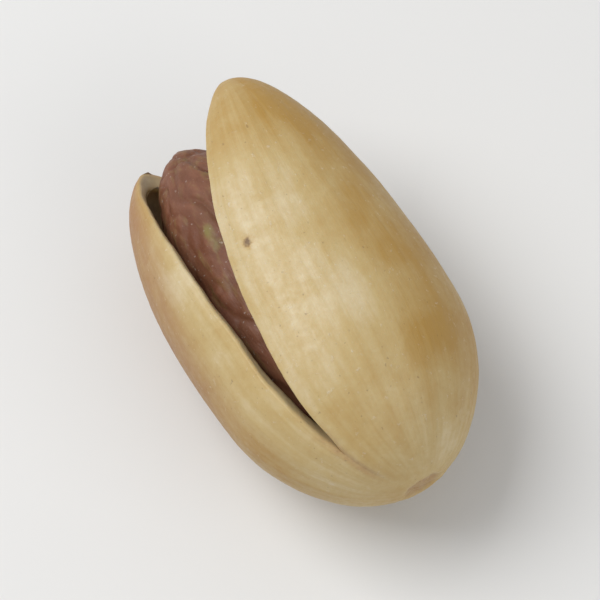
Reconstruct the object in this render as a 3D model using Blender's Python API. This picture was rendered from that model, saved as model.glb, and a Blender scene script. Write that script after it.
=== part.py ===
"""A roasted pistachio in its split shell, lying on the flank of its lower valve.

Local frame of the nut, before it is laid down: the tip points along -X and the blunt base along +X,
the upper valve is at +Z and the lower valve at -Z, and the two sutures run along the -Y and +Y sides.
Metres, +Z up. The origin of the finished part is on the surface it rests on, under the middle of its box.
"""

import math

import bmesh
import bpy
import numpy as np
from mathutils import Euler, Matrix, Vector

MM = 0.001

# Shell, as it was before it split
SHELL_LENGTH = 21.0 * MM
SHELL_RADIUS = 6.05 * MM
SHELL_FLATTENING = 0.94
SHELL_TAPER = (2.0, 0.6)
WIDEST_AT = 0.33
WALL_SIDE = 0.9 * MM
WALL_BASE = 1.5 * MM
WALL_TIP = 0.9 * MM

# Split: shares are of the shell's length, from the base
SPLIT_START = 0.10
SPLIT_PAST_TIP = 1.15
SPLIT_WEDGE = 1.4 * MM
SPLIT_FLARE = 1.6 * MM
LOWER_VALVE_SHORTER_BY = 0.5 * MM
SHORTENING_POWER = 3

# Kernel
KERNEL_BASE_AT = 2.0 * MM
KERNEL_LENGTH = 18.3 * MM
KERNEL_RADIUS = 4.4 * MM
KERNEL_FLATTENING = 0.94
KERNEL_TAPER = (2.0, 0.6)
KERNEL_SWELL = 0.08
KERNEL_LEAN = math.radians(4.0)
KERNEL_SINKS_BY = 0.2 * MM

# Resting pose
ROLL = math.radians(-50.0)
PITCH = math.radians(0.5)
FLAT_SPOT_DEPTH = 0.28 * MM

# Mesh fineness: segments around and rings from base to tip
SHELL_FINENESS = (48, 32)
CAVITY_FINENESS = (40, 26)
KERNEL_FINENESS = (32, 24)
SPLIT_STEPS = 14
SMOOTH_ANGLE = math.radians(50.0)
ON_AXIS = 1e-6
ON_SUTURE = 1e-4 * MM

SHELL_COLOUR = (0.56, 0.43, 0.27)
SHELL_ROUGHNESS = 0.55
KERNEL_COLOUR = (0.20, 0.09, 0.07)
KERNEL_ROUGHNESS = 0.6


def clear_scene():
    """Remove every object that the file started with."""
    for thing in list(bpy.data.objects):
        bpy.data.objects.remove(thing, do_unlink=True)


def new_collection(name):
    """A collection of its own, linked to the scene."""
    collection = bpy.data.collections.new(name)
    bpy.context.scene.collection.children.link(collection)
    return collection


def new_material(name, colour, roughness):
    """A Principled material in one colour."""
    material = bpy.data.materials.new(name)
    material.use_nodes = True
    shader = material.node_tree.nodes["Principled BSDF"]
    shader.inputs["Base Color"].default_value = (*colour, 1.0)
    shader.inputs["Roughness"].default_value = roughness
    shader.inputs["Metallic"].default_value = 0.0
    return material


def egg_radius(t, taper):
    """Radius of the egg, as a share of its greatest, at the share t of its length from the base.

    The base is a half ellipse. Beyond the widest place the egg narrows to its tip, at first slowly: the
    first number of taper says how slowly, and the second how pointed the tip is, where 0.5 is round.
    """
    slowness, pointedness = taper
    if t < WIDEST_AT:
        return math.sqrt(max(0.0, 1.0 - (1.0 - t / WIDEST_AT) ** 2))
    along = min(1.0, (t - WIDEST_AT) / (1.0 - WIDEST_AT))
    return (1.0 - along**slowness) ** pointedness


def half_gape(t):
    """How far a valve has moved off the suture plane, at the share t of the shell's length from the base.

    The opening is a wedge from the start of the split, with a flare towards the mouth.
    """
    opened = max(0.0, (t - SPLIT_START) / (1.0 - SPLIT_START))
    return SPLIT_WEDGE * opened + SPLIT_FLARE * opened**3


def along_x(distance_from_base):
    """Local X of a place given by its distance from the base."""
    return SHELL_LENGTH / 2 - distance_from_base


def close_and_write(shape, mesh):
    """Turn the faces outwards and put the shape into the mesh."""
    shape.normal_update()
    bmesh.ops.recalc_face_normals(shape, faces=shape.faces)
    shape.to_mesh(mesh)
    shape.free()


def egg_mesh(name, start, length, radius, flattening, taper, fineness, swell=0.0):
    """A closed egg from a UV sphere: its poles go to the base and the tip, its rings follow egg_radius.

    A swell makes it thicker, by that share, towards its tip.
    """
    segments, rings = fineness
    mesh = bpy.data.meshes.new(name)
    shape = bmesh.new()
    bmesh.ops.create_uvsphere(shape, u_segments=segments, v_segments=rings, radius=1.0)
    for vert in shape.verts:
        t = (1.0 - vert.co.z) / 2
        around = Vector((vert.co.x, vert.co.y))
        if around.length > ON_AXIS:
            around.normalize()
        width = radius * egg_radius(t, taper)
        thickness = width * flattening * (1.0 + swell * t**2)
        vert.co = Vector((along_x(start + length * t), width * around.x, thickness * around.y))
    close_and_write(shape, mesh)
    return mesh


def spread_valves(mesh):
    """Move the half above the suture plane up and the half below it down, more and more towards the tip."""
    for vert in mesh.vertices:
        t = (SHELL_LENGTH / 2 - vert.co.x) / SHELL_LENGTH
        height = vert.co.z
        side = 0.0 if abs(height) < ON_SUTURE else math.copysign(1.0, height)
        vert.co.z = height + side * half_gape(t)
        vert.co.x += LOWER_VALVE_SHORTER_BY * t**SHORTENING_POWER * (1.0 - side) / 2


def split_mesh(name):
    """The gap between the valves: an outline in XZ that widens towards the tip, drawn out along Y."""
    reach = 2 * SHELL_RADIUS
    shares = np.linspace(SPLIT_START, SPLIT_PAST_TIP, SPLIT_STEPS)
    edge = [(along_x(SHELL_LENGTH * t), half_gape(t)) for t in shares]
    outline = edge + [(x, -z) for x, z in reversed(edge[1:])]
    mesh = bpy.data.meshes.new(name)
    shape = bmesh.new()
    face = shape.faces.new([shape.verts.new((x, -reach, z)) for x, z in outline])
    drawn = bmesh.ops.extrude_face_region(shape, geom=[face])["geom"]
    moved = [item for item in drawn if isinstance(item, bmesh.types.BMVert)]
    bmesh.ops.translate(shape, verts=moved, vec=(0.0, 2 * reach, 0.0))
    close_and_write(shape, mesh)
    return mesh


def resting_surface_mesh(name):
    """A block whose top face is the surface that the nut rests on."""
    mesh = bpy.data.meshes.new(name)
    shape = bmesh.new()
    bmesh.ops.create_cube(shape, size=2 * SHELL_LENGTH)
    bmesh.ops.translate(shape, verts=shape.verts, vec=(0.0, 0.0, -SHELL_LENGTH))
    close_and_write(shape, mesh)
    return mesh


def add_object(name, mesh, collection, pose, material=None):
    """An object for the mesh, in its place."""
    thing = bpy.data.objects.new(name, mesh)
    collection.objects.link(thing)
    thing.matrix_world = pose
    if material:
        mesh.materials.append(material)
    return thing


def add_cutter(name, mesh, collection, pose):
    """An object that only cuts others."""
    cutter = add_object(name, mesh, collection, pose)
    cutter.hide_render = True
    cutter.display_type = "WIRE"
    return cutter


def cut(target, cutter):
    """Take the cutter's volume away from the target."""
    boolean = target.modifiers.new(cutter.name, "BOOLEAN")
    boolean.operation = "DIFFERENCE"
    boolean.solver = "EXACT"
    boolean.object = cutter


def resting_pose(shell_mesh):
    """The nut's place: rolled onto its lower valve, centred, and sunk by the depth of the flat spot."""
    turn = Euler((ROLL, PITCH, 0.0)).to_matrix().to_4x4()
    corners = np.array([turn @ vert.co for vert in shell_mesh.vertices])
    low, high = corners.min(axis=0), corners.max(axis=0)
    middle = (low + high) / 2
    return Matrix.Translation((-middle[0], -middle[1], -low[2] - FLAT_SPOT_DEPTH)) @ turn


def build_shell(parts, cutters):
    """The two valves, grown together at the base: an egg, less its cavity, the split and the flat spot."""
    outside = egg_mesh(
        "shell", 0.0, SHELL_LENGTH, SHELL_RADIUS, SHELL_FLATTENING, SHELL_TAPER, SHELL_FINENESS
    )
    spread_valves(outside)
    outside.shade_smooth()
    outside.set_sharp_from_angle(angle=SMOOTH_ANGLE)
    pose = resting_pose(outside)
    material = new_material("shell", SHELL_COLOUR, SHELL_ROUGHNESS)
    shell = add_object("shell", outside, parts, pose, material)

    inside = egg_mesh(
        "cavity",
        WALL_BASE,
        SHELL_LENGTH - WALL_BASE - WALL_TIP,
        SHELL_RADIUS - WALL_SIDE,
        SHELL_FLATTENING,
        SHELL_TAPER,
        CAVITY_FINENESS,
    )
    spread_valves(inside)
    cut(shell, add_cutter("cavity", inside, cutters, pose))
    cut(shell, add_cutter("split", split_mesh("split"), cutters, pose))
    cut(shell, add_cutter("resting_surface", resting_surface_mesh("resting_surface"), cutters, Matrix()))
    return pose


def build_kernel(parts, shell_pose):
    """The seed in its skin, lying loose in the shell and leaning on the lower valve."""
    seed = egg_mesh(
        "kernel",
        KERNEL_BASE_AT,
        KERNEL_LENGTH,
        KERNEL_RADIUS,
        KERNEL_FLATTENING,
        KERNEL_TAPER,
        KERNEL_FINENESS,
        KERNEL_SWELL,
    )
    seed.shade_smooth()
    base_end = Matrix.Translation((along_x(KERNEL_BASE_AT), 0.0, 0.0))
    lean = base_end @ Matrix.Rotation(-KERNEL_LEAN, 4, "Y") @ base_end.inverted()
    pose = Matrix.Translation((0.0, 0.0, -KERNEL_SINKS_BY)) @ shell_pose @ lean
    add_object("kernel", seed, parts, pose, new_material("kernel", KERNEL_COLOUR, KERNEL_ROUGHNESS))


def main():
    """Build the nut: its shell, and the kernel in it."""
    clear_scene()
    parts = new_collection("pistachio_in_shell")
    cutters = new_collection("cutters")
    shell_pose = build_shell(parts, cutters)
    build_kernel(parts, shell_pose)


main()
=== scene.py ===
"""Looks of a roasted, salted pistachio in its split shell.

The nut is worked out in its own frame first: the tip points along -X and the base along +X, the upper
valve is at +Z and the lower valve at -Z, and the two sutures run along -Y and +Y. It is then laid in the
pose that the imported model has. All lengths are in metres.
"""

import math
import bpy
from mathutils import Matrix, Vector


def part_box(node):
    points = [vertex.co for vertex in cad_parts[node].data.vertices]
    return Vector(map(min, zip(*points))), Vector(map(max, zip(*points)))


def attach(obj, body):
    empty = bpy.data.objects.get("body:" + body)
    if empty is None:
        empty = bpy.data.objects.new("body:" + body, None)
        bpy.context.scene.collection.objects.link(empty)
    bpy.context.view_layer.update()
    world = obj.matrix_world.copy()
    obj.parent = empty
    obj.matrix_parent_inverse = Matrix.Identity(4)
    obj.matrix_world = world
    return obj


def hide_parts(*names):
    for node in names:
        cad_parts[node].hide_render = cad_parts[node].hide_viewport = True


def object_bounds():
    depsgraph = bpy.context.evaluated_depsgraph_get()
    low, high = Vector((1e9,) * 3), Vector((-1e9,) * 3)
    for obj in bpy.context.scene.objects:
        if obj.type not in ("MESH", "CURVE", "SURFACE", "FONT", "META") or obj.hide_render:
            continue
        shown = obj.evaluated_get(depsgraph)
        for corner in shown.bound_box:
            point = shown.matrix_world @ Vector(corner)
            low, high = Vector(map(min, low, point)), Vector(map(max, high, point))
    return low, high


bl_info = {
    "name": "Pistachio in Shell",
    "version": (1, 0, 0),
    "blender": (4, 5, 0),
    "location": "View3D > Sidebar > Pistachio",
    "description": "Builds a roasted pistachio: its split shell, the kernel in it, and a plain stage",
    "category": "Add Mesh",
}

import bmesh
import bpy
import numpy as np
from mathutils import Vector

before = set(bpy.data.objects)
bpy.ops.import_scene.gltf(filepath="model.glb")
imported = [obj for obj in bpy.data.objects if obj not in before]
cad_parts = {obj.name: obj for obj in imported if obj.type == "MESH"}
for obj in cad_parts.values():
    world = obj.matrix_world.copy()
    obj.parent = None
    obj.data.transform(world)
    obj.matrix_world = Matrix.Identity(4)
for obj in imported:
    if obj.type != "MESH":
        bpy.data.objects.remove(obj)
CAD_BOX = [list(corner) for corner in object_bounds()]
SHELL_BOX = [list(corner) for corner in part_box("shell")]

MM = 0.001
BODY = "root"
FRONT, BACK = math.pi, 0.0
UPPER, LOWER = 1.0, -1.0
WELD = 2e-8
FLOOR_WELD = 1e-5


# Sizes and colours that a user would change


class ShellSizes(bpy.types.PropertyGroup):
    """Driving dimensions of the two valves."""

    length: bpy.props.FloatProperty(
        name="Length", description="From base to tip", default=21.0 * MM, unit="LENGTH"
    )
    radius: bpy.props.FloatProperty(
        name="Radius", description="Half width across the sutures", default=6.05 * MM, unit="LENGTH"
    )
    flattening: bpy.props.FloatProperty(
        name="Flattening", description="Thickness as a share of width, before splitting", default=0.94
    )
    widest: bpy.props.FloatProperty(
        name="Widest at", description="Share of the length from the base", default=0.33
    )
    slowness: bpy.props.FloatProperty(
        name="Taper", description="How slowly the nut starts to narrow towards its tip", default=2.0
    )
    pointedness: bpy.props.FloatProperty(
        name="Point", description="How pointed the tip is, 0.5 being round", default=0.6
    )
    wall: bpy.props.FloatProperty(
        name="Wall", description="Thickness of the shell at its sides", default=0.9 * MM, unit="LENGTH"
    )
    wall_base: bpy.props.FloatProperty(
        name="Base wall", description="Thickness of the shell at its base", default=1.5 * MM, unit="LENGTH"
    )
    wall_tip: bpy.props.FloatProperty(
        name="Tip wall", description="Thickness of the shell at its tip", default=0.9 * MM, unit="LENGTH"
    )
    split_start: bpy.props.FloatProperty(
        name="Split start", description="Where the sutures part, as a share of the length", default=0.10
    )
    wedge: bpy.props.FloatProperty(
        name="Wedge",
        description="Even part of half the opening, at the mouth",
        default=1.4 * MM,
        unit="LENGTH",
    )
    flare: bpy.props.FloatProperty(
        name="Flare",
        description="Curved part of half the opening, at the mouth",
        default=1.6 * MM,
        unit="LENGTH",
    )
    shorter: bpy.props.FloatProperty(
        name="Lower shorter by",
        description="How much sooner the lower valve ends",
        default=0.5 * MM,
        unit="LENGTH",
    )
    lip_round: bpy.props.FloatProperty(
        name="Lip rounding", description="Rounding of the valves' edges", default=0.13 * MM, unit="LENGTH"
    )
    lip_bevel: bpy.props.FloatProperty(
        name="Lip bevel", description="How far a lip falls back inwards", default=0.26 * MM, unit="LENGTH"
    )


class KernelSizes(bpy.types.PropertyGroup):
    """Driving dimensions of the seed."""

    start: bpy.props.FloatProperty(
        name="Start", description="From the shell's base", default=2.0 * MM, unit="LENGTH"
    )
    length: bpy.props.FloatProperty(
        name="Length", description="From base to tip", default=18.3 * MM, unit="LENGTH"
    )
    radius: bpy.props.FloatProperty(
        name="Radius", description="Half width", default=4.4 * MM, unit="LENGTH"
    )
    flattening: bpy.props.FloatProperty(
        name="Flattening", description="Thickness as a share of width", default=0.94
    )
    slowness: bpy.props.FloatProperty(
        name="Taper", description="How slowly the seed starts to narrow towards its tip", default=2.0
    )
    pointedness: bpy.props.FloatProperty(
        name="Point", description="How pointed the tip is, 0.5 being round", default=0.6
    )
    swell: bpy.props.FloatProperty(
        name="Swell", description="How much thicker it gets towards its tip, as a share", default=0.08
    )
    lean: bpy.props.FloatProperty(
        name="Lean", description="Turn towards the lower valve", default=math.radians(4.0), unit="ROTATION"
    )
    sinks: bpy.props.FloatProperty(
        name="Sinks by", description="How far the loose seed has settled", default=0.2 * MM, unit="LENGTH"
    )
    wrinkle: bpy.props.FloatProperty(
        name="Wrinkle height", description="Depth of the skin's furrows", default=0.11 * MM, unit="LENGTH"
    )


def colour_property(name, description, default):
    """A colour that a user would change."""
    return bpy.props.FloatVectorProperty(
        name=name, description=description, default=default, size=3, subtype="COLOR", min=0.0, max=1.0
    )


class NutColours(bpy.types.PropertyGroup):
    """Colours of the shell and the kernel."""

    cream: colour_property("Cream", "Clean outside of the shell", (0.535, 0.405, 0.190))
    pale: colour_property("Pale cream", "Bleached parts of the outside and the lips", (0.62, 0.51, 0.31))
    # Ochre also colours the flanks, where it is partly a stain and partly painted shade
    ochre: colour_property("Ochre", "Stained parts of the outside", (0.415, 0.243, 0.055))
    # Blush: a darker, redder tan on the lower valve, partly the shell's own colour and partly painted shade
    # and painted reflected red
    blush_and_shade: colour_property("Blush", "Pinkish tan of the lower valve", (0.345, 0.168, 0.074))
    tan: colour_property("Tan", "Inner wall of the shell", (0.36, 0.21, 0.10))
    brown: colour_property("Brown", "Specks, scar and tips", (0.13, 0.065, 0.026))
    # Skin also stands for the painted shade in the seed's furrows and creases
    skin: colour_property("Skin", "Skin of the seed", (0.165, 0.060, 0.030))
    dry_skin: colour_property("Dry skin", "Raised, dry folds of the skin", (0.27, 0.115, 0.064))
    flesh: colour_property("Flesh", "Green seed where the skin is thin", (0.24, 0.25, 0.06))


class StageSettings(bpy.types.PropertyGroup):
    """Floor, light and camera."""

    floor_colour: colour_property("Floor", "Colour of the floor", (0.76, 0.755, 0.74))
    floor_radius: bpy.props.FloatProperty(
        name="Floor radius", description="Size of the floor", default=1.0, unit="LENGTH"
    )
    lens: bpy.props.FloatProperty(
        name="Lens", description="Focal length in millimetres", default=180.0
    )
    frame_width: bpy.props.FloatProperty(
        name="Frame width", description="Width seen at the nut", default=27.5 * MM, unit="LENGTH"
    )
    azimuth: bpy.props.FloatProperty(
        name="Azimuth",
        description="Camera's turn round the nut",
        default=math.radians(58.5),
        unit="ROTATION",
    )
    elevation: bpy.props.FloatProperty(
        name="Elevation", description="Camera's height", default=math.radians(68.0), unit="ROTATION"
    )
    key_power: bpy.props.FloatProperty(
        name="Key light", description="Power of the large soft light, in watts", default=0.47
    )
    fill_power: bpy.props.FloatProperty(
        name="Fill light", description="Power of the opposite light, in watts", default=0.20
    )


# Pose of the nut, as in the imported model

ROLL = math.radians(-50.0)
PITCH = math.radians(0.5)


def rotation():
    """The turn from the nut's own frame: a roll about X, then a pitch about Y."""
    roll = np.array(
        [[1, 0, 0], [0, math.cos(ROLL), -math.sin(ROLL)], [0, math.sin(ROLL), math.cos(ROLL)]]
    )
    pitch = np.array(
        [[math.cos(PITCH), 0, math.sin(PITCH)], [0, 1, 0], [-math.sin(PITCH), 0, math.cos(PITCH)]]
    )
    return pitch @ roll


def place(points, shift):
    """Points in the nut's own frame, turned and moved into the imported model's frame."""
    return points @ rotation().T + shift


# Noise

LATTICE = 32
SEEDS = {
    "lumps": 11,
    "streaks": 21,
    "grain": 31,
    "scar": 41,
    "slow wave": 51,
    "fast wave": 52,
    "stain_and_shade": 61,
    "inner wall": 71,
    "lip": 81,
    "bend": 91,
    "furrows": 92,
    "fine wrinkles": 93,
    "kernel lumps": 94,
    "bare patches": 95,
    "creases": 96,
}


def gradient_noise(points, seed):
    """Random slopes at the corners of a unit lattice, blended with a quintic: about -0.7 to 0.7."""
    slopes = np.random.default_rng(seed).normal(size=(LATTICE, LATTICE, LATTICE, 3))
    slopes /= np.linalg.norm(slopes, axis=-1, keepdims=True)
    cell = np.floor(points).astype(int)
    inside = points - cell
    ease = inside**3 * (inside * (inside * 6 - 15) + 10)
    total = np.zeros(points.shape[:-1])
    for corner in np.ndindex(2, 2, 2):
        at = (cell + corner) % LATTICE
        slope = slopes[at[..., 0], at[..., 1], at[..., 2]]
        share = np.where(np.array(corner) == 1, ease, 1 - ease).prod(axis=-1)
        total += share * (slope * (inside - corner)).sum(axis=-1)
    return total


def random_turn(seed):
    """A turn to a random direction, so that a lattice's rows don't line up with the nut."""
    return np.linalg.qr(np.random.default_rng(seed).normal(size=(3, 3)))[0]


def layered_noise(points, size, layers, seed):
    """Gradient noise of features as large as size, plus turned layers, each half as large and as high."""
    return sum(
        gradient_noise(points @ random_turn(seed + layer) / size * 2**layer, seed + layer) / 2**layer
        for layer in range(layers)
    )


def smooth_step(low, high, value):
    """0 below low, 1 above high, and an S-shaped rise between."""
    share = np.clip((value - low) / (high - low), 0, 1)
    return share * share * (3 - 2 * share)


def bump_at(distance, width):
    """A bell of height 1 at distance 0, that falls to a third at width."""
    return np.exp(-((distance / width) ** 2))


# Egg shared by the shell, its cavity and the kernel


def egg_radius(t, shape):
    """Radius as a share of the greatest, at the share t of the length from the base.

    A half ellipse as far as the widest place, then one minus a power of the way to the tip, to a power.
    """
    base = np.sqrt(np.clip(1 - (1 - t / shape.widest) ** 2, 0, None))
    along = np.clip((t - shape.widest) / (1 - shape.widest), 0, 1)
    return np.where(t < shape.widest, base, (1 - along**shape.slowness) ** shape.pointedness)


def egg_slope(t, shape):
    """Half the rate at which the square of egg_radius changes with t."""
    base = (1 - t / shape.widest) / shape.widest
    along = np.clip((t - shape.widest) / (1 - shape.widest), 0, 1)
    rest = np.clip(1 - along**shape.slowness, 1e-6, None)
    power = shape.pointedness * rest ** (2 * shape.pointedness - 1)
    tip = -power * shape.slowness * along ** (shape.slowness - 1) / (1 - shape.widest)
    return np.where(t < shape.widest, base, tip)


class EggShape:
    """Numbers of one egg: where it starts, how long and wide it is, and how it tapers."""

    def __init__(self, sizes, widest, start, length, radius):
        self.widest = widest
        self.start = start
        self.length = length
        self.radius = radius
        self.flattening = sizes.flattening
        self.slowness = sizes.slowness
        self.pointedness = sizes.pointedness
        self.swell = getattr(sizes, "swell", 0.0)

    def surface(self, t, turn, shell_length):
        """Points at the share t along and the angle turn around: an ellipse whose size is egg_radius."""
        ring = self.radius * egg_radius(t, self)
        x = shell_length / 2 - self.start - self.length * t
        thickness = self.flattening * (1 + self.swell * t**2)
        return np.stack([x, ring * np.cos(turn), thickness * ring * np.sin(turn)], axis=-1)

    def normals(self, t, turn):
        """Unit normals: the gradient of the egg's equation."""
        ring = egg_radius(t, self)
        normal = np.stack(
            [
                egg_slope(t, self) / self.length,
                ring * np.cos(turn) / self.radius,
                ring * np.sin(turn) / (self.flattening * self.radius),
            ],
            axis=-1,
        )
        return normal / np.linalg.norm(normal, axis=-1, keepdims=True)


# Meshes


def finish_mesh(name, sheets, weld, material):
    """One object from grids of points that meet at their edges.

    Each sheet is a grid of points and a dictionary of values on them. Neighbouring points of a grid make
    quads, the sheets' touching edges are welded, and the faces are turned outwards.
    """
    points, quads, start = [], [], 0
    for grid, _ in sheets:
        rows, columns = grid.shape[:2]
        number = start + np.arange(rows * columns).reshape(rows, columns)
        corners = [number[:-1, :-1], number[1:, :-1], number[1:, 1:], number[:-1, 1:]]
        quads.append(np.stack(corners, axis=-1).reshape(-1, 4))
        points.append(grid.reshape(-1, 3))
        start += rows * columns
    mesh = bpy.data.meshes.new(name)
    mesh.from_pydata(np.concatenate(points), [], np.concatenate(quads))
    for key in sheets[0][1]:
        columns = [marks[key].reshape(grid.shape[0] * grid.shape[1], -1) for grid, marks in sheets]
        values = np.concatenate(columns)
        kind, field = ("FLOAT_VECTOR", "vector") if values.shape[1] == 3 else ("FLOAT", "value")
        layer = mesh.attributes.new(key, kind, "POINT")
        layer.data.foreach_set(field, values.astype(np.float32).ravel())
    shape = bmesh.new()
    shape.from_mesh(mesh)
    bmesh.ops.remove_doubles(shape, verts=shape.verts, dist=weld)
    shape.normal_update()
    bmesh.ops.recalc_face_normals(shape, faces=shape.faces)
    shape.to_mesh(mesh)
    shape.free()
    mesh.shade_smooth()
    mesh.materials.append(material)
    piece = bpy.data.objects.new(name, mesh)
    bpy.context.scene.collection.objects.link(piece)
    return piece


# Shell

# Mesh fineness
ROWS_TO_SPLIT, ROWS_TO_TIP = 30, 190
OUTER_COLUMNS, INNER_COLUMNS, LIP_COLUMNS = 138, 62, 9
EDGE_CROWDING = 0.62

# Lips: shares of the opening over which they ease in, and angles over which they fade from the edge
EASE_IN = 0.0, 0.06
WAVE_EASE_IN = 0.0, 0.25
WAVE_EASE_OUT = 0.90, 0.99
WAVE_REACH, SET_BACK_REACH = 0.42, 0.20
SLOW_WAVE, FAST_WAVE = 0.14 * MM, 0.025 * MM
SLOW_WAVES, FAST_WAVE_RATIO = 9, 4.3
SLITS_APART, VALVES_APART = 3.7, 5.3
LIP_SQUARENESS = 2.6
LIP_ROUGHNESS, LIP_GRAIN = 0.05 * MM, 0.9 * MM

# Relief of the outside, as heights and sizes. A place is a share of the length and an angle around
LUMP_HEIGHT, LUMP_SIZE, LUMPS_SUNK_BY = 0.13 * MM, 6.5 * MM, 0.04 * MM
STREAK_HEIGHT, STREAK_WIDTH, STREAK_STRETCH = 0.034 * MM, 1.5 * MM, 0.14
GRAIN_HEIGHT, GRAIN_SIZE = 0.014 * MM, 0.7 * MM
SHOULDER_AT = 0.27, math.radians(55)
SHOULDER_HEIGHT, SHOULDER_WIDTH = 0.16 * MM, 3.6 * MM
INNER_LUMP_HEIGHT, INNER_LUMP_SIZE = 0.05 * MM, 3.0 * MM

# Pits: one dark speck, and fainter pits of seeded sizes
SPECK_AT = 0.585, math.radians(165.7)
SPECK_RADIUS, SPECK_DEPTH, SPECK_DARKNESS = 0.30 * MM, 0.05 * MM, 0.85
PIT_COUNT, PIT_SEED = 26, 5
PIT_SHARES, PIT_DARKNESS = (0.08, 0.95), (0.1, 0.5)
PIT_RADII, PIT_DEPTHS = (0.07 * MM, 0.20 * MM), (0.01 * MM, 0.04 * MM)

# Stem scar, and the groove and banks along the joined suture
SCAR_EDGE = 0.65 * MM, 1.05 * MM
SCAR_DEPTH, SCAR_ROUGHNESS, SCAR_GRAIN, SCAR_RAGGEDNESS = 0.13 * MM, 0.16 * MM, 0.6 * MM, 0.3
RING_RADIUS, RING_WIDTH, RING_HEIGHT = 1.15 * MM, 0.25 * MM, 0.06 * MM
JOINED_UP_TO, JOINED_FROM = (0.0, 0.12), (0.02, 0.06)
BANK_HEIGHT, BANK_WIDTH = 0.05 * MM, 0.75 * MM
GROOVE_DEPTH, GROOVE_WIDTH, GROOVE_DARK_WIDTH, GROOVE_DARKNESS = 0.07 * MM, 0.14 * MM, 0.22 * MM, 0.8

# Stains, and on the flanks painted shade: angles are from the front lip, the others are shares of the length
UPPER_FLANK, LOWER_FLANK, FAR_BACK = np.radians([[38, 86], [8, 46], [105, 165]])
FLANK_FROM, TIP_FROM, BASE_UP_TO = (0.03, 0.26), (0.66, 0.92), (0.02, 0.34)
STAIN_EVERYWHERE, FLANK_STAIN_AND_SHADE, LESS_FLANK_STAIN_AND_SHADE_AT_BACK = 0.14, 0.62, 0.28
STAIN_TIP, STAIN_BASE, STAIN_PATCHES, STAIN_PATCH_SIZE = 0.55, 0.27, 0.34, 4.2 * MM
STAIN_INSIDE = 0.3
# Lower valve's darker, redder tan: partly its own colour, partly painted shade and painted reflected red
BLUSH_AND_SHADE_FLANK, BLUSH_AND_SHADE_FROM = np.radians([14, 44]), (0.12, 0.55)
BLUSH_AND_SHADE_NEARER_LIP_BY, BLUSH_AND_SHADE_NEARER_FROM = math.radians(22), (0.45, 0.85)


def rows_along(split_start):
    """Shares of the length, crowded at both poles, with one row exactly where the split starts."""
    base = split_start * (1 - np.cos(np.linspace(0, math.pi / 2, ROWS_TO_SPLIT + 1)))
    tip = split_start + (1 - split_start) * np.sin(np.linspace(0, math.pi / 2, ROWS_TO_TIP + 1))
    return np.concatenate([base, tip[1:]])


def columns_around(count):
    """Angles from the back suture to the front one, crowded at both ends by a sine."""
    share = np.linspace(0, 1, count)
    return math.pi * (share - EDGE_CROWDING * np.sin(2 * math.pi * share) / (2 * math.pi))


def opened_share(t, sizes):
    """0 up to the start of the split and 1 at the tip."""
    return np.clip((t - sizes.split_start) / (1 - sizes.split_start), 0, None)


def lip_wave(t, end, side, sizes):
    """Uneven run of a lip: slow and fast noise along it, none where the valves are still joined."""
    line = [t * SLOW_WAVES, np.full_like(t, end * SLITS_APART), np.full_like(t, side * VALVES_APART)]
    along = np.stack(line, axis=-1)
    wave = SLOW_WAVE * gradient_noise(along, SEEDS["slow wave"])
    wave = wave + FAST_WAVE * gradient_noise(along * FAST_WAVE_RATIO, SEEDS["fast wave"])
    ease = smooth_step(*WAVE_EASE_IN, opened_share(t, sizes)) * (1 - smooth_step(*WAVE_EASE_OUT, t))
    return wave * ease


def open_valve(points, t, turn, side, sizes, set_back=0.0):
    """Move a valve off the suture plane: a wedge from the start of the split, with a flare at the mouth.

    The edge itself is set back a little more, and it runs unevenly.
    """
    opened = opened_share(t, sizes)
    ease = smooth_step(*EASE_IN, opened)
    lift = sizes.wedge * opened + sizes.flare * opened**3
    for end in (BACK, FRONT):
        lift = lift + set_back * ease * bump_at(turn - end, SET_BACK_REACH)
        lift = lift + bump_at(turn - end, WAVE_REACH) * lip_wave(t, end, side, sizes)
    moved = points.copy()
    moved[..., 2] = side * (points[..., 2] + lift)
    moved[..., 0] += (side == LOWER) * sizes.shorter * opened**3
    return moved


def off_pole_share(t, shape):
    """0 at the poles, where lengthwise lines would meet in a star, and 1 away from them."""
    return smooth_step(0.12, 0.6, egg_radius(t, shape))


def wound_place(t, turn, side, sizes):
    """A place given by the way around and the way along, whose noise can be drawn out lengthwise."""
    around = [sizes.radius * np.cos(turn), side * sizes.radius * np.sin(turn)]
    return np.stack([*around, t * sizes.length], axis=-1)


def pits(shape, sizes):
    """Small pits on the egg: one dark speck near the front lip, then fainter ones at seeded places.

    Gives their places, radii, depths and shares of darkness.
    """
    rng = np.random.default_rng(PIT_SEED)
    t = np.append(SPECK_AT[0], rng.uniform(*PIT_SHARES, PIT_COUNT))
    turn = np.append(SPECK_AT[1], rng.uniform(0, 2 * math.pi, PIT_COUNT))
    radii = np.append(SPECK_RADIUS, rng.uniform(*PIT_RADII, PIT_COUNT))
    depths = np.append(SPECK_DEPTH, rng.uniform(*PIT_DEPTHS, PIT_COUNT))
    darkness = np.append(SPECK_DARKNESS, rng.uniform(*PIT_DARKNESS, PIT_COUNT))
    return zip(shape.surface(t, turn, sizes.length), radii, depths, darkness)


def stem_scar(points, mirrored):
    """Height and darkness of the scar at the base: a ragged, rough hollow inside a low ring."""
    from_axis = np.linalg.norm(points[..., 1:], axis=-1)
    base_side = points[..., 0] > 0
    rough = layered_noise(mirrored, SCAR_GRAIN, 4, SEEDS["scar"])
    ragged = from_axis * (1 + SCAR_RAGGEDNESS * rough)
    scar = (1 - smooth_step(*SCAR_EDGE, ragged)) * base_side
    ring = bump_at(ragged - RING_RADIUS, RING_WIDTH) * base_side
    return RING_HEIGHT * ring - scar * (SCAR_DEPTH + SCAR_ROUGHNESS * rough), scar


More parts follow.
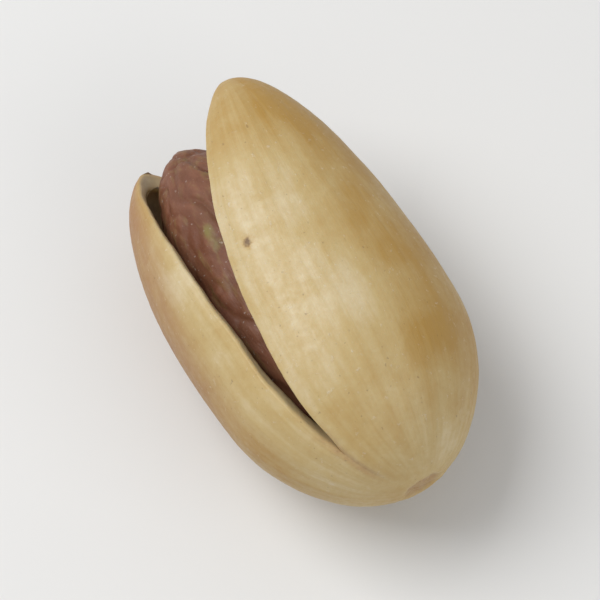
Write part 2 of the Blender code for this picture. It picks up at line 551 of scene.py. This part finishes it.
def joined_suture(points, t, turn, sizes):
    """Height and darkness of the suture where it hasn't split: a groove between two low banks."""
    from_suture = np.linalg.norm(points[..., 1:], axis=-1) * np.minimum(turn, math.pi - turn)
    joined = (1 - smooth_step(*JOINED_UP_TO, opened_share(t, sizes))) * smooth_step(*JOINED_FROM, t)
    banks = BANK_HEIGHT * bump_at(from_suture, BANK_WIDTH)
    groove = GROOVE_DEPTH * bump_at(from_suture, GROOVE_WIDTH)
    return joined * (banks - groove), joined * bump_at(from_suture, GROOVE_DARK_WIDTH)


def shell_relief(points, t, turn, side, shape, sizes):
    """Height of the outside above the smooth egg, and the marks that the finish reads.

    Lumps, lengthwise streaks, fine grain, a broad shoulder, pits, the stem scar and the joined suture,
    added up.
    """
    mirrored = points * np.array([1.0, 1.0, side])
    drawn_out = wound_place(t, turn, side, sizes) * np.array([1.0, 1.0, STREAK_STRETCH])
    height = LUMP_HEIGHT * layered_noise(mirrored, LUMP_SIZE, 2, SEEDS["lumps"]) - LUMPS_SUNK_BY
    streaks = layered_noise(drawn_out, STREAK_WIDTH, 3, SEEDS["streaks"])
    height = height + STREAK_HEIGHT * off_pole_share(t, shape) * streaks
    height = height + GRAIN_HEIGHT * layered_noise(mirrored, GRAIN_SIZE, 3, SEEDS["grain"])
    from_shoulder = np.linalg.norm(mirrored - shape.surface(*SHOULDER_AT, sizes.length), axis=-1)
    height = height + SHOULDER_HEIGHT * bump_at(from_shoulder, SHOULDER_WIDTH)

    specks = np.zeros(t.shape)
    for centre, radius, depth, darkness in pits(shape, sizes):
        bell = bump_at(np.linalg.norm(mirrored - centre, axis=-1), radius)
        height = height - depth * bell
        specks = np.maximum(specks, bell * darkness)

    scar_height, scar = stem_scar(points, mirrored)
    suture_height, groove = joined_suture(points, t, turn, sizes)
    return height + scar_height + suture_height, specks, scar, groove


def ochre_share(points, t, turn, side):
    """Where the outside is ochre: stained at the tip and at the base, and darker on the flank away from the
    front lip, where it is partly a real stain and partly painted shade.
    """
    mirrored = points * np.array([1.0, 1.0, side])
    patches = layered_noise(mirrored, STAIN_PATCH_SIZE, 4, SEEDS["stain_and_shade"])
    # The flank away from the front lip: ochre there is partly a real stain and partly painted shade
    flank = smooth_step(*(UPPER_FLANK if side == UPPER else LOWER_FLANK), FRONT - turn)
    flank = flank * smooth_step(*FLANK_FROM, t)
    back = smooth_step(*FAR_BACK, FRONT - turn)
    stain_and_shade = STAIN_EVERYWHERE + (FLANK_STAIN_AND_SHADE - LESS_FLANK_STAIN_AND_SHADE_AT_BACK * back) * flank
    stain_and_shade = stain_and_shade + STAIN_TIP * smooth_step(*TIP_FROM, t) + STAIN_BASE * (1 - smooth_step(*BASE_UP_TO, t))
    return np.clip(stain_and_shade + STAIN_PATCHES * patches, 0, 1)


def blush_and_shade_share(t, turn, side):
    """Where the lower valve is a darker, redder tan along its outer flank, and nearer the lip towards its
    tip: partly the shell's own tan, partly painted shade and painted reflected red.
    """
    from_lip = FRONT - turn + BLUSH_AND_SHADE_NEARER_LIP_BY * smooth_step(*BLUSH_AND_SHADE_NEARER_FROM, t)
    return (side == LOWER) * smooth_step(*BLUSH_AND_SHADE_FLANK, from_lip) * smooth_step(*BLUSH_AND_SHADE_FROM, t)


def outer_face(side, shape, sizes, rows):
    """The outside of one valve and its marks."""
    t, turn = np.meshgrid(rows, columns_around(OUTER_COLUMNS), indexing="ij")
    smooth = shape.surface(t, turn, sizes.length)
    height, specks, scar, groove = shell_relief(smooth, t, turn, side, shape, sizes)
    raised = smooth + shape.normals(t, turn) * height[..., None]
    marks = {
        "ochre": ochre_share(smooth, t, turn, side),
        "blush_and_shade": blush_and_shade_share(t, turn, side),
        "waist": off_pole_share(t, shape),
        "speck": specks,
        "scar": np.maximum(scar, GROOVE_DARKNESS * groove),
        "lip": np.zeros(t.shape),
        "inside": np.zeros(t.shape),
        "streak": wound_place(t, turn, side, sizes),
    }
    return open_valve(raised, t, turn, side, sizes, sizes.lip_round), marks


def inner_face(side, shape, sizes, rows):
    """The inside of one valve, with soft lumps, and its marks."""
    t, turn = np.meshgrid(rows, columns_around(INNER_COLUMNS), indexing="ij")
    smooth = shape.surface(t, turn, sizes.length)
    mirrored = smooth * np.array([1.0, 1.0, side])
    lumps = INNER_LUMP_HEIGHT * layered_noise(mirrored, INNER_LUMP_SIZE, 3, SEEDS["inner wall"])
    raised = smooth + shape.normals(t, turn) * lumps[..., None]
    marks = {
        "ochre": np.full(t.shape, STAIN_INSIDE),
        "blush_and_shade": np.zeros(t.shape),
        "waist": off_pole_share(t, shape),
        "speck": np.zeros(t.shape),
        "scar": np.zeros(t.shape),
        "lip": np.zeros(t.shape),
        "inside": np.ones(t.shape),
        "streak": wound_place(t, turn, side, sizes),
    }
    return open_valve(raised, t, turn, side, sizes, sizes.lip_round + sizes.lip_bevel), marks


def valve_sheets(side, shape, inner_shape, sizes, shift):
    """The outer face, inner face and two lips of one valve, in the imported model's frame."""
    rows = rows_along(sizes.split_start)
    outer, marks = outer_face(side, shape, sizes, rows)
    inner, inner_marks = inner_face(side, inner_shape, sizes, rows)
    sheets = [(outer, marks), (inner, inner_marks)]
    for column in (0, -1):
        sheets.append(lip_sheet(outer, inner, marks, inner_marks, column, rows, side, sizes))
    return [(place(grid, shift), values) for grid, values in sheets]


def lip_sheet(outer, inner, marks, inner_marks, column, rows, side, sizes):
    """The rounded edge of a valve: from its outer edge to its inner edge, bulging towards the other valve.

    The bulge follows a superellipse across the wall, and it dies away where the split starts.
    """
    first = ROWS_TO_SPLIT
    across = np.linspace(0, 1, LIP_COLUMNS)[None, :]
    bulge = (1 - np.abs(2 * across - 1) ** LIP_SQUARENESS) ** (1 / LIP_SQUARENESS)
    ease = smooth_step(*EASE_IN, opened_share(rows[first:], sizes))[:, None]
    start, end = outer[first:, column][:, None], inner[first:, column][:, None]
    grid = start + (end - start) * across[..., None]
    rough = LIP_ROUGHNESS * layered_noise(grid, LIP_GRAIN, 3, SEEDS["lip"]) * ease * bulge
    grid[..., 2] -= side * (sizes.lip_round * bulge * ease + rough)
    values = {}
    for key, outer_values in marks.items():
        low, high = outer_values[first:, column][:, None], inner_marks[key][first:, column][:, None]
        share = across[..., None] if low.ndim == 3 else across
        values[key] = low + (high - low) * share
    values["lip"] = np.broadcast_to(np.sin(math.pi * across), grid.shape[:2]).copy()
    values["inside"] = np.broadcast_to(smooth_step(0.55, 1.0, across), grid.shape[:2]).copy()
    return grid, values


def shell_shift(shape, sizes):
    """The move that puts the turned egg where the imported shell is: centred in X and Y, its top as high."""
    t, turn = np.meshgrid(np.linspace(0, 1, 241), np.linspace(0, math.pi, 121), indexing="ij")
    smooth = shape.surface(t, turn, sizes.length)
    both = np.concatenate([open_valve(smooth, t, turn, side, sizes) for side in (UPPER, LOWER)])
    turned = both.reshape(-1, 3) @ rotation().T
    low, high = turned.min(axis=0), turned.max(axis=0)
    box_low, box_high = np.array(SHELL_BOX[0]), np.array(SHELL_BOX[1])
    shift = (box_low + box_high) / 2 - (low + high) / 2
    shift[2] = box_high[2] - high[2]
    return shift


def build_shell(sizes, material):
    """Both valves, welded along the joined suture and the poles, and flat where they meet the floor."""
    shape = EggShape(sizes, sizes.widest, 0.0, sizes.length, sizes.radius)
    inner_length = sizes.length - sizes.wall_base - sizes.wall_tip
    inner = EggShape(sizes, sizes.widest, sizes.wall_base, inner_length, sizes.radius - sizes.wall)
    shift = shell_shift(shape, sizes)
    sheets = [
        sheet for side in (UPPER, LOWER) for sheet in valve_sheets(side, shape, inner, sizes, shift)
    ]
    floor = SHELL_BOX[0][2]
    for grid, _ in sheets:
        grid[..., 2] = np.maximum(grid[..., 2], floor)
    return finish_mesh("shell_grown", sheets, WELD, material), shift


# Kernel

KERNEL_ROWS, KERNEL_COLUMNS = 190, 300
KERNEL_LUMP_HEIGHT, KERNEL_LUMP_SIZE = 0.16 * MM, 4.5 * MM
BEND_DISTANCE, BEND_SIZE = 1.3 * MM, 4.0 * MM
FOLD_STRETCH, FOLD_SHARPNESS, FOLD_POWER = 0.26, 5, 1.5
FURROW_SIZE, CREASE_SIZE, FINE_SIZE, FINE_STRETCH = 2.0 * MM, 0.85 * MM, 0.6 * MM, 2.4
CREASE_SHARE, FINE_SHARE = 0.5, 0.4
BARE_SIZE, BARE_FROM, BARE_LESS_IN_FURROWS = 3.4 * MM, (0.30, 0.55), 0.1
VEIN_STRETCH = 0.2


def lean_over(points, start, angle, shell_length):
    """Points turned about a line along Y through the seed's base, so that its tip drops."""
    pivot = np.array([shell_length / 2 - start, 0, 0])
    turned = np.array(
        [[math.cos(angle), 0, -math.sin(angle)], [0, 1, 0], [math.sin(angle), 0, math.cos(angle)]]
    )
    return (points - pivot) @ turned.T + pivot


def folds(points, size, seed):
    """Sharp lines, 1 along their middles and 0 between them: where gradient noise passes through zero."""
    ridge = np.clip(1 - FOLD_SHARPNESS * np.abs(gradient_noise(points / size, seed)), 0, 1)
    return ridge**FOLD_POWER


def build_kernel(sizes, shell_sizes, shift, material):
    """The seed: an egg with lumps, lengthwise furrows and creases that noise bends, and fine wrinkles."""
    shape = EggShape(sizes, shell_sizes.widest, sizes.start, sizes.length, sizes.radius)
    rows = (1 - np.cos(np.linspace(0, math.pi, KERNEL_ROWS))) / 2
    t, turn = np.meshgrid(rows, np.linspace(0, 2 * math.pi, KERNEL_COLUMNS), indexing="ij")
    smooth = shape.surface(t, turn, shell_sizes.length)

    bend = BEND_DISTANCE * layered_noise(smooth, BEND_SIZE, 2, SEEDS["bend"])
    folded = smooth * np.array([FOLD_STRETCH, 1.0, 1.0]) + bend[..., None]
    furrow = folds(folded, FURROW_SIZE, SEEDS["furrows"])
    crease = folds(folded, CREASE_SIZE, SEEDS["creases"])
    shortened = folded * np.array([FINE_STRETCH, 1.0, 1.0])
    fine = layered_noise(shortened, FINE_SIZE, 3, SEEDS["fine wrinkles"])
    lumps = layered_noise(smooth, KERNEL_LUMP_SIZE, 2, SEEDS["kernel lumps"])
    depth = sizes.wrinkle * (furrow + CREASE_SHARE * crease - FINE_SHARE * fine)
    height = KERNEL_LUMP_HEIGHT * lumps - depth
    points = smooth + shape.normals(t, turn) * height[..., None]

    thin = layered_noise(smooth, BARE_SIZE, 3, SEEDS["bare patches"]) - BARE_LESS_IN_FURROWS * furrow
    marks = {
        # Paler on raised dry folds; the darkening in the furrows and creases is painted shade
        "fold_and_furrow_shade": np.clip(0.60 - 0.42 * furrow - 0.22 * crease + 0.35 * fine, 0, 1),
        "bare": smooth_step(*BARE_FROM, thin),
        "streak": smooth * np.array([VEIN_STRETCH, 1.0, 1.0]),
    }
    points = lean_over(points, shape.start, sizes.lean, shell_sizes.length)
    drop = np.array([0.0, 0.0, -sizes.sinks])
    sheets = [(place(points, shift + drop), marks)]
    return finish_mesh("kernel_grown", sheets, WELD, material)


# Materials

NOISE_TURN = (0.7, 1.1, 0.4)
FIBRE_WIDTH, FIBRE_STRETCH, FIBRE_RELIEF = 0.55 * MM, 0.09, 0.035 * MM
SHELL_PATCH, SHELL_PORE = 2.4 * MM, 0.20 * MM
SHELL_GRAIN, SHELL_GRAIN_RELIEF = 0.28 * MM, 0.018 * MM
SHELL_SALT, SHELL_SALT_RELIEF = 0.32 * MM, 0.012 * MM
SHELL_SALT_COLOUR, SKIN_SALT_COLOUR = (0.86, 0.84, 0.78), (0.80, 0.76, 0.70)
SKIN_VEIN, SKIN_VEIN_RELIEF = 0.42 * MM, 0.05 * MM
SKIN_GRAIN, SKIN_GRAIN_RELIEF = 0.16 * MM, 0.012 * MM
SKIN_PATCH, SKIN_SALT = 1.6 * MM, 0.25 * MM
FLOOR_PATCH, FLOOR_DARKER = 30 * MM, 0.96


def new_node(tree, kind, inputs=None, **settings):
    """A node with its settings made, and its sockets set or linked."""
    node = tree.nodes.new(kind)
    for key, value in settings.items():
        setattr(node, key, value)
    for key, value in (inputs or {}).items():
        if isinstance(value, bpy.types.NodeSocket):
            tree.links.new(value, node.inputs[key])
        else:
            node.inputs[key].default_value = value
    return node


def mark(tree, name, output="Fac"):
    """A value that the mesh carries."""
    return new_node(tree, "ShaderNodeAttribute", attribute_name=name).outputs[output]


def turned_pattern(tree, place_in, scale=(1.0, 1.0, 1.0)):
    """A place, scaled and then turned so that a noise's rows don't line up with the nut."""
    inputs = {"Vector": place_in, "Scale": scale, "Rotation": NOISE_TURN}
    return new_node(tree, "ShaderNodeMapping", inputs).outputs["Vector"]


def object_place(tree):
    """The place on the object."""
    return new_node(tree, "ShaderNodeTexCoord").outputs["Object"]


def share_of(tree, value, share):
    """The value times a share."""
    return sum_of(tree, value, share, "MULTIPLY")


def set_subsurface(shader, weight, radius, scale):
    """Let some light into the surface: how much, how far for each colour, and on what scale."""
    shader.inputs["Subsurface Weight"].default_value = weight
    shader.inputs["Subsurface Radius"].default_value = radius
    shader.inputs["Subsurface Scale"].default_value = scale


def noise(tree, place_in, size, detail=3.0, roughness=0.55, distortion=0.0):
    """Noise whose features are as large as size, in metres."""
    inputs = {"Vector": place_in, "Scale": 1 / size, "Detail": detail}
    inputs |= {"Roughness": roughness, "Distortion": distortion}
    return new_node(tree, "ShaderNodeTexNoise", inputs).outputs["Fac"]


def stretch(tree, value, low, high, to_low=0.0, to_high=1.0):
    """The value, stretched so that low and high become to_low and to_high, and held between them."""
    inputs = {"Value": value, "From Min": low, "From Max": high, "To Min": to_low, "To Max": to_high}
    return new_node(tree, "ShaderNodeMapRange", inputs).outputs["Result"]


def sum_of(tree, first, second, operation="ADD"):
    """Two values put together by simple arithmetic, held between 0 and 1."""
    node = new_node(tree, "ShaderNodeMath", {0: first, 1: second}, operation=operation, use_clamp=True)
    return node.outputs[0]


def blend_values(tree, share, first, second):
    """Two values blended by a share."""
    return new_node(tree, "ShaderNodeMix", {0: share, 2: first, 3: second}).outputs[0]


def blend(tree, share, first, second):
    """Two colours blended by a share. A plain colour is given as three numbers."""
    node = new_node(tree, "ShaderNodeMix", {0: share}, data_type="RGBA")
    for socket, colour in ((node.inputs[6], first), (node.inputs[7], second)):
        if isinstance(colour, bpy.types.NodeSocket):
            tree.links.new(colour, socket)
        else:
            socket.default_value = (*colour, 1.0)
    return node.outputs[2]


def bumps(tree, layers):
    """Surface relief from several heights, each with its distance in metres, one on the other."""
    normal = None
    for height, distance in layers:
        inputs = {"Height": height, "Distance": distance, "Strength": 1.0}
        if normal:
            inputs["Normal"] = normal
        normal = new_node(tree, "ShaderNodeBump", inputs).outputs["Normal"]
    return normal


def new_material(name):
    """An empty material with a Principled shader, and its node tree."""
    material = bpy.data.materials.new(name)
    material.use_nodes = True
    tree = material.node_tree
    return material, tree, tree.nodes["Principled BSDF"]


def shell_finish(colours):
    """Dry, faintly glossy cream shell: ochre stains, darker ochre on the flanks that is partly painted
    shade, a darker redder tan on the lower valve that is partly painted shade and painted reflected red,
    lengthwise fibres, pores, salt, tan inner wall.
    """
    material, tree, shader = new_material("pistachio_shell")
    here = turned_pattern(tree, object_place(tree))
    lengthwise = turned_pattern(tree, mark(tree, "streak", "Vector"), (1.0, 1.0, FIBRE_STRETCH))
    cream, pale, ochre = tuple(colours.cream), tuple(colours.pale), tuple(colours.ochre)
    tan, brown = tuple(colours.tan), tuple(colours.brown)

    fibres = noise(tree, lengthwise, FIBRE_WIDTH, 4.0)
    fibres = blend_values(tree, mark(tree, "waist"), 0.5, fibres)
    patches = noise(tree, here, SHELL_PATCH, 4.0, 0.55, 0.6)
    grain = noise(tree, here, SHELL_GRAIN, 4.0, 0.65)
    pores = stretch(tree, noise(tree, here, SHELL_PORE, 1.0), 0.72, 0.80)
    salt = stretch(tree, noise(tree, here, SHELL_SALT, 3.0, 0.7), 0.62, 0.74)

    # Clean and stained outside; the ochre on the flanks is partly painted shade
    stain_and_shade = sum_of(tree, mark(tree, "ochre"), stretch(tree, patches, 0.35, 0.65, -0.13, 0.13))
    stain_and_shade = sum_of(tree, stain_and_shade, stretch(tree, fibres, 0.35, 0.65, -0.11, 0.11))
    colour = blend(tree, stretch(tree, stain_and_shade, 0.0, 0.28), pale, cream)
    colour = blend(tree, stretch(tree, stain_and_shade, 0.28, 0.90), colour, ochre)
    # Darker, redder tan on the lower valve: partly its own colour, partly painted shade and painted
    # reflected red
    blush_and_shade = sum_of(tree, mark(tree, "blush_and_shade"), stretch(tree, patches, 0.3, 0.7, 0.55, 0.95), "MULTIPLY")
    colour = blend(tree, blush_and_shade, colour, tuple(colours.blush_and_shade))
    colour = blend(tree, stretch(tree, grain, 0.3, 0.7, 0.0, 0.22), colour, ochre)

    # Pores, specks, scar and salt
    colour = blend(tree, share_of(tree, pores, 0.35), colour, brown)
    ragged = sum_of(tree, mark(tree, "speck"), stretch(tree, grain, 0.3, 0.7, -0.25, 0.15))
    colour = blend(tree, stretch(tree, ragged, 0.12, 0.55, 0.0, 0.55), colour, ochre)
    colour = blend(tree, stretch(tree, ragged, 0.42, 0.70, 0.0, 0.85), colour, brown)
    worn = sum_of(tree, mark(tree, "scar"), stretch(tree, grain, 0.3, 0.7, 0.35, 0.9), "MULTIPLY")
    colour = blend(tree, worn, colour, tan)
    colour = blend(tree, share_of(tree, salt, 0.20), colour, SHELL_SALT_COLOUR)

    # Inner wall and lips
    inner = blend(tree, stretch(tree, patches, 0.3, 0.7), tan, cream)
    inner = blend(tree, stretch(tree, fibres, 0.4, 0.7, 0.0, 0.35), inner, brown)
    colour = blend(tree, mark(tree, "inside"), colour, inner)
    colour = blend(tree, share_of(tree, mark(tree, "lip"), 0.75), colour, pale)
    tree.links.new(colour, shader.inputs["Base Color"])

    tree.links.new(stretch(tree, grain, 0.3, 0.7, 0.40, 0.58), shader.inputs["Roughness"])
    shader.inputs["Specular IOR Level"].default_value = 0.45
    set_subsurface(shader, 0.12, (1.0, 0.65, 0.35), 0.5 * MM)
    relief = [(fibres, FIBRE_RELIEF), (grain, SHELL_GRAIN_RELIEF), (salt, SHELL_SALT_RELIEF)]
    tree.links.new(bumps(tree, relief), shader.inputs["Normal"])
    return material


def kernel_finish(colours):
    """Papery purple-brown skin: paler on its dry folds, darker between them with painted shade in the
    furrows and creases, green where it is thin, salt dust.
    """
    material, tree, shader = new_material("pistachio_kernel")
    here = turned_pattern(tree, object_place(tree))
    lengthwise = turned_pattern(tree, mark(tree, "streak", "Vector"))
    veins = noise(tree, lengthwise, SKIN_VEIN, 4.0, 0.6)
    patches = noise(tree, here, SKIN_PATCH, 4.0)
    grain = noise(tree, here, SKIN_GRAIN, 3.0, 0.6)
    salt = stretch(tree, noise(tree, here, SKIN_SALT, 2.0, 0.6), 0.66, 0.74)

    # Dry skin on the raised folds, and painted shade where the skin lies low in furrows and creases
    raised = sum_of(tree, mark(tree, "fold_and_furrow_shade"), stretch(tree, veins, 0.3, 0.7, -0.25, 0.25))
    dry = stretch(tree, raised, 0.30, 1.0, 0.0, 0.85)
    colour = blend(tree, dry, tuple(colours.skin), tuple(colours.dry_skin))
    colour = blend(tree, stretch(tree, patches, 0.45, 0.75, 0.0, 0.4), colour, tuple(colours.brown))
    thin = sum_of(tree, mark(tree, "bare"), stretch(tree, veins, 0.35, 0.65, -0.3, 0.2))
    colour = blend(tree, share_of(tree, thin, 0.75), colour, tuple(colours.flesh))
    colour = blend(tree, share_of(tree, salt, 0.25), colour, SKIN_SALT_COLOUR)
    tree.links.new(colour, shader.inputs["Base Color"])
    tree.links.new(stretch(tree, grain, 0.3, 0.7, 0.42, 0.62), shader.inputs["Roughness"])
    shader.inputs["Specular IOR Level"].default_value = 0.4
    set_subsurface(shader, 0.08, (1.0, 0.5, 0.3), 0.4 * MM)
    relief = [(veins, SKIN_VEIN_RELIEF), (grain, SKIN_GRAIN_RELIEF)]
    tree.links.new(bumps(tree, relief), shader.inputs["Normal"])
    return material


def floor_finish(colour):
    """Matt pale board with a very slight unevenness."""
    material, tree, shader = new_material("floor_board")
    mottle = noise(tree, object_place(tree), FLOOR_PATCH, 4.0)
    darker = tuple(channel * FLOOR_DARKER for channel in colour)
    tree.links.new(blend(tree, mottle, tuple(colour), darker), shader.inputs["Base Color"])
    shader.inputs["Roughness"].default_value = 0.7
    return material


# Stage: a light's direction is in shares of the view's right, up and back

KEY_FROM, KEY_DISTANCE, KEY_SIZE = (-0.75, 0.65, 1.0), 0.25, 0.16
FILL_FROM, FILL_DISTANCE, FILL_SIZE = (1.0, -0.4, 0.9), 0.30, 0.25
SKY_COLOUR, SKY_STRENGTH = (0.97, 0.98, 1.0), 0.47
FLOOR_RINGS, FLOOR_SECTORS = 9, 97


def camera_axes(settings):
    """Unit vectors of the view: to the right, up the picture, and from the nut to the camera."""
    az, el = settings.azimuth, settings.elevation
    right = Vector((math.cos(az), math.sin(az), 0.0))
    back = Vector((math.sin(az) * math.cos(el), -math.cos(az) * math.cos(el), math.sin(el)))
    return right, back.cross(right), back


def add_camera(settings, middle):
    """A long lens that looks down on the nut."""
    _, _, back = camera_axes(settings)
    data = bpy.data.cameras.new("camera")
    data.lens = settings.lens
    distance = settings.frame_width * settings.lens / data.sensor_width
    data.clip_start = distance / 100
    camera = bpy.data.objects.new("camera", data)
    camera.location = middle + back * distance
    camera.rotation_mode = "QUATERNION"
    camera.rotation_quaternion = (-back).to_track_quat("-Z", "Y")
    bpy.context.scene.collection.objects.link(camera)
    bpy.context.scene.camera = camera


def add_light(name, middle, axes, shares, distance, size, power):
    """A square soft light that faces the nut, in a direction made of shares of the view's axes."""
    direction = sum((axis * share for axis, share in zip(axes, shares)), Vector())
    data = bpy.data.lights.new(name, "AREA")
    data.size, data.energy = size, power
    light = bpy.data.objects.new(name, data)
    light.location = middle + direction.normalized() * distance
    light.rotation_mode = "QUATERNION"
    light.rotation_quaternion = (-direction).to_track_quat("-Z", "Y")
    bpy.context.scene.collection.objects.link(light)


def add_floor(settings):
    """A round sheet under the nut: rings of points about the origin, closed at its middle."""
    radii = np.linspace(0, 1, FLOOR_RINGS) ** 2
    rings, turn = np.meshgrid(radii, np.linspace(0, 2 * math.pi, FLOOR_SECTORS), indexing="ij")
    level = np.full(rings.shape, CAD_BOX[0][2])
    reach = settings.floor_radius
    grid = np.stack([reach * rings * np.cos(turn), reach * rings * np.sin(turn), level], axis=-1)
    floor = finish_mesh("floor", [(grid, {})], FLOOR_WELD, floor_finish(settings.floor_colour))
    if floor.data.polygons[0].normal.z < 0:
        floor.data.flip_normals()
    return floor


# Operators


class PISTACHIO_OT_add_shell(bpy.types.Operator):
    """Add the split shell in place of the plain one"""

    bl_idname = "pistachio.add_shell"
    bl_label = "Add Shell"

    def execute(self, context):
        scene = context.scene
        shell, shift = build_shell(scene.shell_sizes, shell_finish(scene.nut_colours))
        scene["nut_shift"] = list(shift)
        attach(shell, BODY)
        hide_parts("shell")
        return {"FINISHED"}


class PISTACHIO_OT_add_kernel(bpy.types.Operator):
    """Add the wrinkled kernel in place of the plain one"""

    bl_idname = "pistachio.add_kernel"
    bl_label = "Add Kernel"

    def execute(self, context):
        scene = context.scene
        shift = np.array(scene["nut_shift"])
        finish = kernel_finish(scene.nut_colours)
        kernel = build_kernel(scene.kernel_sizes, scene.shell_sizes, shift, finish)
        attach(kernel, BODY)
        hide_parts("kernel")
        return {"FINISHED"}


class PISTACHIO_OT_set_stage(bpy.types.Operator):
    """Add the floor, the soft lights and the camera"""

    bl_idname = "pistachio.set_stage"
    bl_label = "Set Stage"

    def execute(self, context):
        settings = context.scene.stage_settings
        low, high = Vector(CAD_BOX[0]), Vector(CAD_BOX[1])
        middle = (low + high) / 2
        axes = camera_axes(settings)
        add_floor(settings)
        add_camera(settings, middle)
        add_light("key", middle, axes, KEY_FROM, KEY_DISTANCE, KEY_SIZE, settings.key_power)
        add_light("fill", middle, axes, FILL_FROM, FILL_DISTANCE, FILL_SIZE, settings.fill_power)
        world = bpy.data.worlds.new("studio")
        world.use_nodes = True
        background = world.node_tree.nodes["Background"]
        background.inputs["Color"].default_value = (*SKY_COLOUR, 1.0)
        background.inputs["Strength"].default_value = SKY_STRENGTH
        context.scene.world = world
        context.scene.view_settings.view_transform = "Standard"
        return {"FINISHED"}


class PISTACHIO_PT_panel(bpy.types.Panel):
    """Lists the steps that build the nut"""

    bl_idname = "PISTACHIO_PT_panel"
    bl_label = "Pistachio"
    bl_space_type = "VIEW_3D"
    bl_region_type = "UI"
    bl_category = "Pistachio"

    def draw(self, context):
        for step in STEPS:
            self.layout.operator(step.bl_idname)


GROUPS = {
    "shell_sizes": ShellSizes,
    "kernel_sizes": KernelSizes,
    "nut_colours": NutColours,
    "stage_settings": StageSettings,
}
STEPS = (PISTACHIO_OT_add_shell, PISTACHIO_OT_add_kernel, PISTACHIO_OT_set_stage)


def register():
    """Register the settings, the steps and the panel."""
    for name, group in GROUPS.items():
        bpy.utils.register_class(group)
        setattr(bpy.types.Scene, name, bpy.props.PointerProperty(type=group))
    for step in (*STEPS, PISTACHIO_PT_panel):
        bpy.utils.register_class(step)


def unregister():
    """Remove the panel, the steps and the settings."""
    for step in (PISTACHIO_PT_panel, *reversed(STEPS)):
        bpy.utils.unregister_class(step)
    for name, group in reversed(GROUPS.items()):
        delattr(bpy.types.Scene, name)
        bpy.utils.unregister_class(group)


def main():
    """Register everything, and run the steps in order."""
    register()
    bpy.ops.pistachio.add_shell()
    bpy.ops.pistachio.add_kernel()
    bpy.ops.pistachio.set_stage()


if __name__ == "__main__":
    main()
